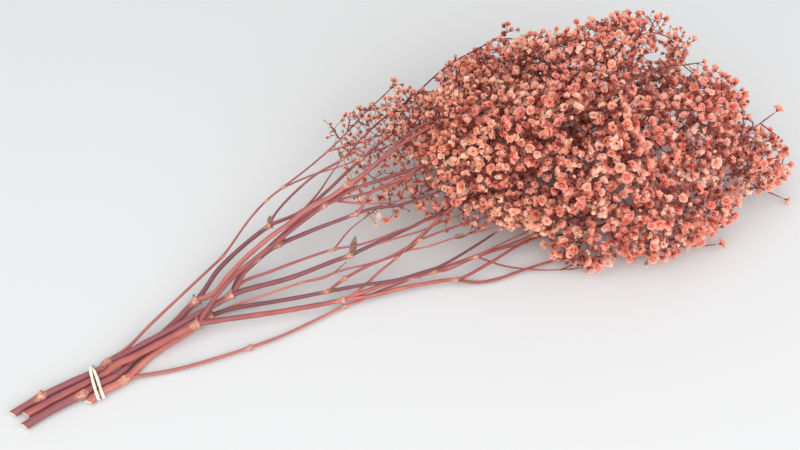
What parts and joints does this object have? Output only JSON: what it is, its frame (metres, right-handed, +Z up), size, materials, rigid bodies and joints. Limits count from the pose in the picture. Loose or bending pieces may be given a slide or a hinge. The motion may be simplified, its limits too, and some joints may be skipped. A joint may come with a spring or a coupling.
{
  "type": "gypsophila stem bunch",
  "caption": "Bunch of dried gypsophila stems with many small double florets, lying flat, tied near the cut ends by a rubber band wound twice.",
  "frame": {"origin": "on the table, in the flat underside of one turn of the rubber band, below the middle of the stems", "axes": "+X along the bunch from the cut ends to the head, +Z up, +Y to the far side of the bunch as pictured"},
  "size_m": [0.5712, 0.2115, 0.1099],
  "materials": {
    "stem_back": "matt, dyed",
    "stem_middle": "matt, dyed",
    "stem_crossing": "matt, dyed",
    "stem_front": "matt, dyed",
    "rubber_band": "satin"
  },
  "bodies": {
    "root": {"stem_back": "stem_back", "stem_middle": "stem_middle", "stem_crossing": "stem_crossing", "stem_front": "stem_front", "rubber_band": "rubber_band"}
  },
  "joints": []
}
